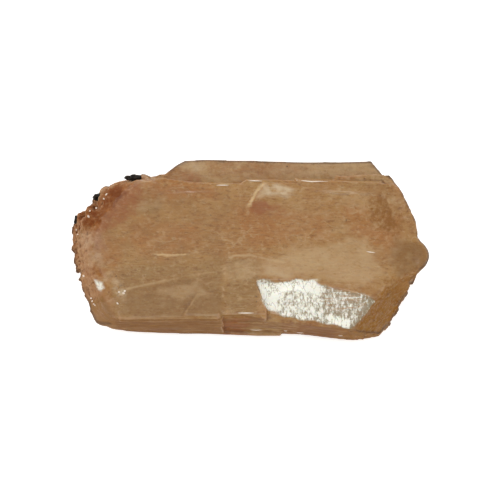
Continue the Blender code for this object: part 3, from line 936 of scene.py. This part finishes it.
def lay_body(coat):
    clouds = coat.ramp(coat.noise(6.0, (1.5, 1, 1), detail=3, seed=4.2), 0.35, 0.65)
    coat.colour = coat.blend(clouds, HONEY, STRAW)
    coat.stain("amber", AMBER, 2.2, 0.6, 0.85, 3.7, (3, 1, 1))
    coat.stain("olive", OLIVE, 2.6, 0.8, 0.75, 9.2, (2, 1, 1))
    patchy = coat.ramp(coat.noise(4.0, seed=6.1), 0.4, 0.65)
    threads = coat.noise(0.24, (14, 1, 1), detail=3, seed=2.5)
    coat.layer(HAZE, coat.ramp(threads, 0.5, 0.75), 0.45, patchy)
    mottle = coat.noise(1.1, detail=5, roughness=0.6, seed=14.1)
    coat.layer(HAZE, coat.ramp(mottle, 0.48, 0.8), 0.7)
    pores = coat.noise(0.42, (2.2, 1, 1), detail=4, roughness=0.7, seed=17.3)
    coat.layer(SHADOW, coat.ramp(pores, 0.52, 0.30), 0.75)
    flecks = coat.noise(0.5, (1.6, 1, 1), detail=3, roughness=0.7, seed=37.0)
    coat.layer(HAZE, coat.ramp(flecks, 0.55, 0.75), 0.6)
    dark_threads = coat.noise(0.28, (12, 1, 1), detail=3, seed=31.5)
    coat.layer(SHADOW, coat.ramp(dark_threads, 0.46, 0.28), 0.14)
    coat.layer(HAZE, coat.creases(4.5, (1.5, 1, 1), 21.3, 0.016, 0.0), 0.5, patchy)


# %% [markdown]
# The side walls are cut across the stack of blades. They get painted shade, darkest at the front,
# and pale and dark lines show the edges of the layers. Then come the stains. One noise makes both
# kinds of freckle: where it is high they are pale, and where it is low they are dark.

# %% The side walls and the stains


def lay_walls(coat):
    steep = coat.zone("steep")
    # Painted shade on the side walls, darkest on the front wall.
    coat.layer(SIDE_SHADE, steep, coat.maths("MULTIPLY_ADD", coat.zone("front"), 0.4, 0.45))
    layers = coat.noise(0.4, (16, 16, 1), detail=4, roughness=0.7, seed=40.0)
    coat.layer(STRAW, coat.ramp(layers, 0.52, 0.68), 0.5, steep)
    coat.layer(SHADOW, coat.ramp(layers, 0.47, 0.34), 0.4, steep)


def lay_stains(coat):
    coat.stain("rim", PINK, 1.2, 0.8, 0.8, 18.3)
    coat.stain("pink", PINK, 1.2, 0.6, 0.9, 8.3)
    coat.stain("dusk", DUSK, 2.5, 0.8, 0.8, 1.1)
    coat.stain("haze", HAZE, 1.8, 0.8, 0.7, 2.2, (1.5, 1, 1))
    coat.stain("veil", HAZE, 1.2, 0.5, 0.45, 3.3, (1.5, 1, 1))
    coat.stain("red", RED, 1.1, 0.8, 0.9, 24.4)
    freckles = coat.noise(0.9, detail=5, roughness=0.7, seed=28.0)
    freckled = coat.zone("freckled")
    coat.layer(PALE_PINK, coat.ramp(freckles, 0.52, 0.64), 0.65, freckled)
    coat.stain("blush", BLUSH, 0.8, 0.75, 0.9, 4.4)
    coat.layer(BLUSH, coat.ramp(freckles, 0.48, 0.36), 0.6, freckled)
    coat.stain("rust", RUST, 0.7, 0.4, 0.85, 5.5)


# %% [markdown]
# Relief shows in the colour too, as painted light: shade in the hollows, deepest where the crystal
# is broken, and a highlight on ridges and lips. Seams are pale. Frost is a patch of fine crystals.

# %% Hollows, ridges, seams and frost


def lay_relief(coat):
    broken = coat.maths("MULTIPLY_ADD", coat.zone("crumb"), 0.65, 0.3)
    # Painted shade in the hollows.
    coat.layer(HOLLOW_SHADE, coat.ramp(coat.zone("hollow"), 0.2, 0.85), broken)
    # Painted highlight on the ridges.
    coat.layer(RIDGE_HIGHLIGHT, coat.ramp(coat.zone("ridge"), 0.25, 1.0), 0.45)
    coat.stain("seam", HAZE, 0.8, 0.8, 0.7, 7.4, (3, 1, 1))
    # Painted highlight along the lips.
    coat.stain("lip", LIP_HIGHLIGHT, 0.5, 0.8, 0.9, 6.4)
    crystals = coat.noise(0.9, (1.4, 1, 1), detail=5, roughness=0.6, seed=15.2)
    coat.layer(FROST, coat.ramp(crystals, 0.25, 0.65), 0.9, coat.zone("frost"))


# %% [markdown]
# The pearly facet is white with a crinkled grey net, partly its own milky colour and partly painted
# pearly sheen, solid white where milk was painted. Streaks of honey show through where it is thin.
# The dark brim lies over everything, except at the front, where the side wall shows below the edge.

# %% The pearly facet and the brim


def lay_facet(coat):
    honey = coat.colour
    crinkle = coat.noise(0.6, (0.7, 1.5, 1), detail=4, roughness=0.75, seed=6.6)
    white = coat.maths("MULTIPLY_ADD", coat.zone("milk_and_sheen"), 0.28, crinkle)
    # The white is partly the facet's milky colour and partly painted pearly sheen.
    coat.colour = coat.blend(coat.ramp(white, 0.49, 0.70), PEARL_GREY, PEARL_WHITE_SHEEN)
    streaks = coat.noise(0.35, (10, 1, 1), detail=2, seed=12.1)
    coat.layer(honey, coat.ramp(streaks, 0.55, 0.35), 0.7, coat.zone("tan"))
    coat.layer(PEARL_GREY, coat.creases(1.3, (0.7, 1.3, 1), 3.9, 0.028, 0.004), 0.7)
    coat.colour = coat.blend(coat.zone("pearl"), honey, coat.colour)
    brim = coat.maths("SUBTRACT", coat.zone("brim"), coat.zone("front"), clamp=True)
    coat.layer(OUTLINE, brim, 0.85)


# %% [markdown]
# The same colour goes on two finishes. The cleavage on top is glossy in streaks, while the prism
# faces at the sides are dull, and so is all that is crumbly.

# %% Crystal finishes
SIDE_FACE = 0.55
DULL_CRUMB = 0.55
SCATTER_REACH = (1.0, 0.7, 0.45)
SCATTER_MM = 0.4


def crystal_finish(name, rough_low, rough_more, **constants):
    """The crystal's colour, with a roughness that runs from low to low plus more."""
    coat = Coat(name)
    for lay in (lay_body, lay_walls, lay_stains, lay_relief, lay_facet):
        lay(coat)
    grain = coat.noise(0.22, detail=3, seed=8.0)
    bump = coat.add("ShaderNodeBump", {"Strength": 0.3, "Distance": 0.012 * MM, "Height": grain})
    gloss = coat.ramp(coat.noise(1.2, (4, 1, 1), seed=9.0), 0.3, 0.7)
    rough = coat.maths("MULTIPLY_ADD", gloss, rough_more, rough_low)
    broken = coat.maths("MULTIPLY", coat.zone("crumb"), 0.3)
    return coat.surface(
        Base_Color=coat.colour,
        Roughness=coat.maths("ADD", rough, broken, clamp=True),
        IOR=1.50,
        Subsurface_Radius=SCATTER_REACH,
        Subsurface_Scale=SCATTER_MM * MM,
        Normal=bump.outputs[0],
        **constants,
    )


cleavage = crystal_finish(
    "pearly_cleavage", 0.22, 0.16, Subsurface_Weight=0.7, Specular_IOR_Level=0.3
)
prism = crystal_finish(
    "prism_face", 0.65, 0.2, Subsurface_Weight=0.5, Specular_IOR_Level=0.15
)
crystal.data.materials.append(cleavage)
crystal.data.materials.append(prism)
crumbly = np.empty(len(crystal.data.vertices), np.float32)
crystal.data.attributes["crumb"].data.foreach_get("value", crumbly)
for face in crystal.data.polygons:
    is_dull = face.normal.z < SIDE_FACE or crumbly[face.vertices[0]] > DULL_CRUMB
    face.material_index = int(is_dull)
print("finishes:", cleavage.name, "and", prism.name)

# %% [markdown]
# ## Grains on the skin
#
# Fine things sit on the crystal: a crust of tiny crystals at both ends, flakes of rust, dark
# specks and sparks of light on single facets. All are a small faceted grain repeated, so one
# Geometry Nodes tree makes them. It scatters points over the skin where a painted zone allows, or
# takes points given one by one, and puts a squashed icosphere on each, with its own turn and size.

# %% Grain trees
SEED = 5
GRAIN_SQUASH = (1.0, 0.8, 0.55)


def live(node):
    """The one output that is switched on for the node's kind of data."""
    return [socket for socket in node.outputs if socket.enabled][0]


def dress(graph, made, material, out):
    """Ends a tree: makes what it made real, gives it a material and sends it out."""
    real = graph.add("GeometryNodeRealizeInstances", {0: made.outputs[0]})
    dressed = graph.add("GeometryNodeSetMaterial", {0: real.outputs[0], "Material": material})
    graph.tree.links.new(dressed.outputs[0], out.inputs[0])


def grain_tree(name, sizes, material, zone_name):
    """A tree that puts grains on scattered points of a skin, or on the points it is given."""
    graph, given, out = geometry_tree(name, sizes)
    points = given["Geometry"]
    if zone_name:
        density = graph.maths("MULTIPLY", mask_of(graph, zone_name), given["per mm2"])
        points = graph.add(
            "GeometryNodeDistributePointsOnFaces",
            {"Mesh": given["Geometry"], "Density": density, "Seed": SEED},
        ).outputs["Points"]
    size = graph.add(
        "FunctionNodeRandomValue",
        {"Min": given["smallest"], "Max": given["largest"], "Seed": SEED},
        data_type="FLOAT",
    )
    turn = graph.add(
        "FunctionNodeRandomValue", {1: (math.tau,) * 3, "Seed": SEED + 1}, data_type="FLOAT_VECTOR"
    )
    grain = graph.add("GeometryNodeMeshIcoSphere", {"Radius": 1.0, "Subdivisions": 1})
    squashed = graph.add(
        "GeometryNodeTransform", {"Geometry": grain.outputs[0], "Scale": GRAIN_SQUASH}
    )
    placed = graph.add(
        "GeometryNodeInstanceOnPoints",
        {"Points": points, "Instance": squashed.outputs[0], "Rotation": live(turn),
         "Scale": live(size)},
    )
    dress(graph, placed, material, out)
    return graph


def grains(name, source, material, sizes, zone_name=None):
    """A piece of grains on a copy of a mesh, trimmed to the solid's box."""
    thing = added(name, source.copy())
    run_tree(thing, grain_tree(name + "_tree", sizes, material, zone_name), sizes)
    keep_in_box(thing.data)
    print(name, len(thing.data.polygons), "faces")
    return thing


# %% [markdown]
# The crust has the crystal's own finish, and is painted like the skin, so that each grain takes
# the colour of its place. Rust flakes grow where rust was painted.

# %% Crust and rust
crust = grains("crust_grains", crystal.data, cleavage,
               {"per mm2": 0.8, "smallest": 0.06, "largest": 0.20}, "crust")
paint(crust.data)
rusty = two_tone("rust_flake", 0.2, (0.12, 0.035, 0.002), (0.21, 0.088, 0.008), seed=2.0,
                 Roughness=0.7, Specular_IOR_Level=0.1)
flakes = grains("rust_flakes", crystal.data, rusty,
                {"per mm2": 3.0, "smallest": 0.03, "largest": 0.08}, "rust")

# %% [markdown]
# The dark specks and the sparks are placed one by one. A point dropped from above finds the skin
# under it with a ray. Smaller glints are scattered over the crust.

# %% Specks, sparks and glints
SPECKS = [(-6.5, 4.7), (17.4, 3.8), (5.6, 11.7), (-23.0, -6.3), (-27.9, -7.5), (1.5, -10.0),
          (1.5, -10.9), (20.9, 11.7), (3.1, 15.2), (7.1, 14.6), (9.8, 15.2), (14.9, 2.0)]
# The sparks are pale grains whose colour is a painted highlight.
SPARKS = [(-28.0, 5.8), (-28.2, 4.7), (-27.1, 6.8), (-25.2, 8.9), (-25.6, 8.1), (-27.7, -9.4),
          (-27.5, -9.9), (-26.9, -10.8), (-21.4, -9.0), (-21.6, -9.4), (-27.2, -10.5), (-30.6, 2.9),
          (-22.4, -9.2), (-30.2, 1.8), (-29.0, -5.6), (-22.6, -11.2), (-26.0, -7.8), (-25.4, -8.1)]
LIFT = Vector((0, 0, 0.03))


def landed(x, y):
    """A point just above the skin, straight below a place."""
    return skin.ray_cast(Vector((x, y, DROP_FROM)), DOWN)[0] + LIFT


def dotted(name, places):
    """A mesh of single points on the skin."""
    mesh = bpy.data.meshes.new(name)
    mesh.from_pydata([landed(x, y) for x, y in places], [], [])
    return mesh


dark = two_tone("dark_speck", 0.1, (0.010, 0.008, 0.006), (0.045, 0.025, 0.015), Roughness=0.5)
specks = grains("dark_specks", dotted("dark_specks", SPECKS), dark,
                {"smallest": 0.09, "largest": 0.15})
# Sparks, glints and ledges share this pale finish: its colour is a painted highlight.
glint_paint = two_tone("bright_facet", 0.3, (0.66, 0.52, 0.40), (0.88, 0.80, 0.70), Roughness=0.15,
                  IOR=1.5)
sparks = grains("bright_sparks", dotted("bright_sparks", SPARKS), glint_paint,
                {"smallest": 0.15, "largest": 0.36})
glints = grains("bright_glints", crystal.data, glint_paint,
                {"per mm2": 0.3, "smallest": 0.03, "largest": 0.10}, "crust")

# %% [markdown]
# ## Bright ledges
#
# Where a growth layer ends in a sharp ledge, its edge shows as a thin bright line: a thin rod
# whose pale colour is a painted highlight. Each is a path laid on the skin: from above on the top,
# and along the camera's view on the front wall.

# %% Paths of the ledges
LEDGES = [
    [(0.1, 10.95), (1.3, 10.95), (2.6, 10.9)],
    [(8.6, 11.05), (10.0, 10.9), (11.3, 10.75), (12.6, 10.8), (14.3, 10.85)],
    [(-5.6, 10.2), (-3.3, 10.2)],
    [(20.8, -1.9), (22.4, -2.1)],
    [(-1.7, -12.9), (1.1, -12.9)],
]
FRONT_LEDGES = [
    [(0.4, -14.3), (1.6, -14.35), (2.6, -14.3)],
    [(6.5, -14.45), (7.2, -14.5)],
    [(8.7, -14.7), (10.1, -14.8)],
    [(16.2, -15.2), (17.0, -15.2)],
]
FRONT_HEIGHT = 5.0


def glimpsed(x, y):
    """The point of the front wall that the camera sees in the direction of a place."""
    return skin.ray_cast(Vector((x, y, FRONT_HEIGHT)) + backward * DROP_FROM, -backward)[0]


ledge_points, ledge_edges = [], []
for paths, lay_point in ((LEDGES, landed), (FRONT_LEDGES, glimpsed)):
    for path in paths:
        first = len(ledge_points)
        ledge_points += [lay_point(x, y) for x, y in path]
        ledge_edges += [(first + i, first + i + 1) for i in range(len(path) - 1)]
ledge_mesh = bpy.data.meshes.new("bright_ledges")
ledge_mesh.from_pydata(ledge_points, ledge_edges, [])
ledges = added("bright_ledges", ledge_mesh)

# %% [markdown]
# A Geometry Nodes tree turns the paths into curves, makes them thick in the middle and fine at
# both ends, and sweeps a small five-sided profile along them.

# %% Sweep the ledges
LEDGE_SIZES = {"thickness": 0.085}
LEDGE_SIDES = 5
LEDGE_STEPS = 16
LEDGE_TIP = 0.15

sweep, given, out = geometry_tree("ledge_sweep", LEDGE_SIZES)
curve = sweep.add("GeometryNodeMeshToCurve", {0: given["Geometry"]})
fine = sweep.add("GeometryNodeResampleCurve", {"Curve": curve.outputs[0], "Count": LEDGE_STEPS})
along = sweep.add("GeometryNodeSplineParameter").outputs["Factor"]
bulge = sweep.maths("SINE", sweep.maths("MULTIPLY", along, math.pi))
girth = sweep.maths("MULTIPLY", sweep.maths("ADD", bulge, LEDGE_TIP), given["thickness"])
profile = sweep.add(
    "GeometryNodeCurvePrimitiveCircle", {"Resolution": LEDGE_SIDES, "Radius": 1.0}
)
swept = sweep.add(
    "GeometryNodeCurveToMesh",
    {"Curve": fine.outputs[0], "Profile Curve": profile.outputs[0], "Scale": girth,
     "Fill Caps": True},
)
dress(sweep, swept, glint_paint, out)
run_tree(ledges, sweep, LEDGE_SIZES)
keep_in_box(ledges.data)
print("ledges:", len(ledges.data.polygons), "faces")

# %% [markdown]
# ## Onto the specimen
#
# Each piece is scaled from millimetres to metres and rides on the specimen's one body. The crystal
# takes the place of its plain solid, and the small pieces only add to it.

# %% Hang the crystal's pieces on the specimen


def settle(thing):
    """Scales a piece from millimetres to metres and hangs it on the specimen."""
    move_points(thing.data, points_of(thing.data) * MM)
    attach(thing, "root")


settle(crystal)
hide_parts("stilbite_crystal")
for piece in (crust, flakes, sparks, glints, ledges):
    settle(piece)
settle(specks)

# %% [markdown]
# ## Crumbs of host rock
#
# Dark basalt that the crystal grew on still clings to its rim in three places. Each crumb starts
# from its solid, is wrapped in a fine net, flattened against the rim and pitted by noise, so that
# it beds into the crystal and looks broken. Each has a turn in degrees, a squash and a shift.

# %% Matrix crumbs
CRUMB_VOXEL = 0.08
PIT_DEPTH = 0.3
PITS_PER_MM = 1.1
CRUMBS = {
    "matrix_fleck_back": (0, (0.85, 0.7, 0.75), (0.1, 0.35, 0.2)),
    "matrix_fleck_shoulder": (38, (0.85, 0.6, 1.0), (-0.1, 0.0, 0.2)),
    "matrix_fleck_left": (0, (0.6, 1.0, 0.6), (0.0, 0.1, 0.0)),
}

rock = Finish("host_rock_finish")
speckle = rock.ramp(rock.noise(0.35, detail=4, seed=1.5), 0.35, 0.75)
rock_tone = rock.blend(speckle, (0.004, 0.003, 0.0025), (0.032, 0.020, 0.012))
rock_bump = rock.add(
    "ShaderNodeBump",
    {"Strength": 0.6, "Distance": 0.05 * MM, "Height": rock.noise(0.18, detail=4, seed=3.5)},
)
rock_finish = rock.surface(
    Base_Color=rock_tone, Roughness=0.6, Specular_IOR_Level=0.25, Normal=rock_bump.outputs[0]
)
for node, (turn, squash, shift) in CRUMBS.items():
    crumb = solid_copy(node, node.replace("fleck", "crumb"))
    even_net(crumb, CRUMB_VOXEL)
    keep_modified(crumb)
    points = points_of(crumb.data)
    middle = points.mean(axis=0)
    pits = [noise.fractal(Vector(p) * PITS_PER_MM, 0.7, 2.0, 4) for p in points]
    swollen = (points - middle) * (1.0 + PIT_DEPTH * np.array(pits)[:, None]) * squash
    turned = swollen @ np.array(Matrix.Rotation(math.radians(turn), 3, "Z")).T
    move_points(crumb.data, middle + turned + shift)
    keep_in_box(crumb.data)
    crumb.data.materials.append(rock_finish)
    crumb.data.shade_smooth()
    settle(crumb)
    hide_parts(node)
    print(crumb.name, len(crumb.data.polygons), "faces")
